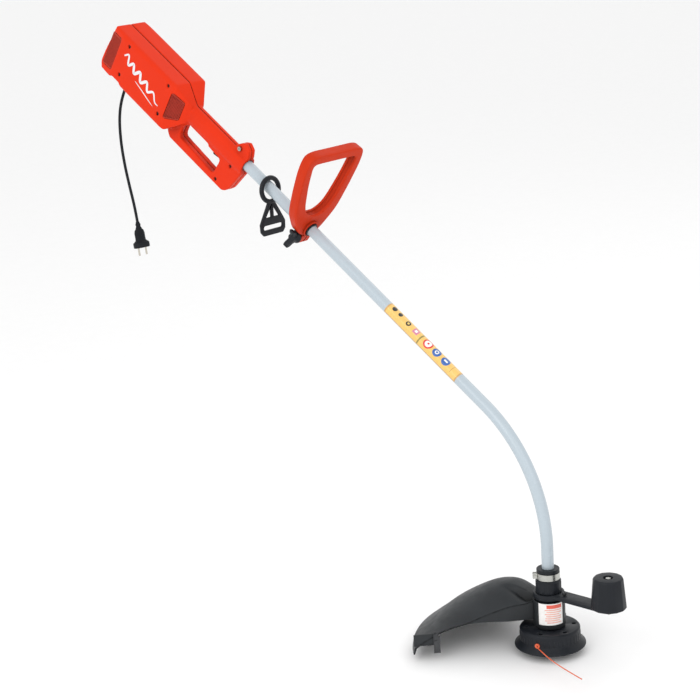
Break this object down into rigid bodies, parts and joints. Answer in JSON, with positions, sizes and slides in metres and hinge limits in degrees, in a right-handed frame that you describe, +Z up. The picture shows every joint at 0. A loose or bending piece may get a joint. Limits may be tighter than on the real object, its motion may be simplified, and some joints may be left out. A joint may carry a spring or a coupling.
{
  "type": "string trimmer",
  "caption": "Electric string trimmer with top motor, curved tube shaft, loop front handle, guarded tap-feed line head and edging roller.",
  "frame": {"origin": "middle of the rear grip, on the centre line of the shaft", "axes": "+X forward from the operator to the cutting head, +Y to the far side, +Z up"},
  "size_m": [1.4536, 0.3954, 1.2938],
  "materials": {
    "housing": "glossy orange-red moulded plastic",
    "vent": "dark red mesh plastic",
    "handle_plastic": "satin orange-red moulded plastic",
    "tube": "pale grey-blue anodised tube",
    "black_plastic": "black glass-filled plastic",
    "guard_plastic": "dark grey moulded plastic",
    "zinc_steel": "zinc plated steel",
    "bearing_steel": "polished bearing steel",
    "lamination": "stacked electrical steel",
    "copper": "enamelled copper winding",
    "carbon": "pressed carbon",
    "nylon": "natural nylon",
    "cord_rubber": "black rubber cord",
    "pin_brass": "nickel plated brass pins",
    "line_nylon": "orange nylon line",
    "spring_steel": "spring steel"
  },
  "bodies": {
    "root": {"housing_near": "housing", "housing_far": "housing", "front_vents": "vent", "rear_vents": "vent", "housing_screws": "zinc_steel", "clamp_bolt": "zinc_steel", "clamp_nut": "zinc_steel", "stator_core": "lamination", "field_coils": "copper", "motor_bearings": "bearing_steel", "brush_holders": "black_plastic", "carbon_brushes": "carbon", "brush_springs": "spring_steel", "trigger_pin": "zinc_steel", "switch_body": "black_plastic", "trigger_spring": "spring_steel", "shaft_tube": "tube", "cable_liner": "nylon", "drive_cable": "zinc_steel", "liner_spacers": "nylon", "head_case": "black_plastic", "collar_band": "zinc_steel", "band_screw": "zinc_steel", "head_bearings": "bearing_steel", "guard": "guard_plastic", "guard_screws": "zinc_steel", "line_cutter": "zinc_steel", "guide_arm": "black_plastic", "arm_screw": "zinc_steel", "roller_axle": "zinc_steel", "roller_bolt": "zinc_steel", "roller_nut": "zinc_steel", "cord_gland": "cord_rubber", "power_cord": "cord_rubber", "plug_body": "cord_rubber", "plug_pins": "pin_brass"},
    "motor_rotor": {"armature_core": "lamination", "armature_windings": "copper", "commutator": "copper", "motor_shaft": "zinc_steel", "cooling_fan": "black_plastic", "cable_coupling": "zinc_steel"},
    "cutting_head": {"head_spindle": "zinc_steel", "spindle_nut": "zinc_steel", "spool_housing": "black_plastic", "spool_cover": "black_plastic", "line_eyelets": "pin_brass", "tap_spring": "spring_steel", "cutting_line_near": "line_nylon", "cutting_line_far": "line_nylon"},
    "spool": {"line_spool": "nylon", "wound_line": "line_nylon", "tap_button": "black_plastic"},
    "trigger": {"trigger": "black_plastic"},
    "handle_bush": {"handle_bush": "black_plastic"},
    "front_handle": {"front_handle": "handle_plastic", "handle_bolt": "zinc_steel"},
    "wing_knob": {"wing_knob": "black_plastic"},
    "strap_hanger": {"strap_hanger": "black_plastic"},
    "guide_roller": {"guide_roller": "black_plastic"}
  },
  "joints": [
    {"name": "motor_spin", "type": "hinge", "parent": "root", "child": "motor_rotor", "pos_m": [-0.18521, 0, 0.12776], "axis": [0.8231, 0, -0.5678], "continuous": true},
    {"name": "head_spin", "type": "hinge", "parent": "root", "child": "cutting_head", "pos_m": [0.93041, 0, -1.02218], "axis": [0, 0, -1], "continuous": true},
    {"name": "tap_feed", "type": "slide", "parent": "cutting_head", "child": "spool", "axis": [0, 0, 1], "range_m": [0, 0.006], "stiffness_N_per_m": 800, "springref_m": -0.01, "deforming": ["tap_spring"]},
    {"name": "trigger_pull", "type": "hinge", "parent": "root", "child": "trigger", "pos_m": [0.03076, 0, -0.05402], "axis": [0, 1, 0], "range_deg": [0, 7], "stiffness_Nm_per_rad": 0.6, "springref_deg": -14.32, "deforming": ["trigger_spring"]},
    {"name": "handle_slide", "type": "slide", "parent": "root", "child": "handle_bush", "axis": [0.8231, 0, -0.5678], "range_m": [-0.05, 0.15]},
    {"name": "handle_turn", "type": "hinge", "parent": "handle_bush", "child": "front_handle", "pos_m": [0.28316, 0, -0.19534], "axis": [0.8231, 0, -0.5678], "range_deg": [-35, 35]},
    {"name": "wing_knob_spin", "type": "hinge", "parent": "front_handle", "child": "wing_knob", "pos_m": [0.26612, -0.022, -0.22003], "axis": [0, 1, 0], "continuous": true},
    {"name": "hanger_swing", "type": "hinge", "parent": "root", "child": "strap_hanger", "pos_m": [0.17533, 0, -0.12095], "axis": [0.8231, 0, -0.5678], "range_deg": [-45, 45]},
    {"name": "roller_spin", "type": "hinge", "parent": "root", "child": "guide_roller", "pos_m": [1.08542, 0, -0.89218], "axis": [0, 0, 1], "continuous": true}
  ],
  "couplings": [
    {"joint": "head_spin", "follows": "motor_spin", "ratio": 1}
  ]
}
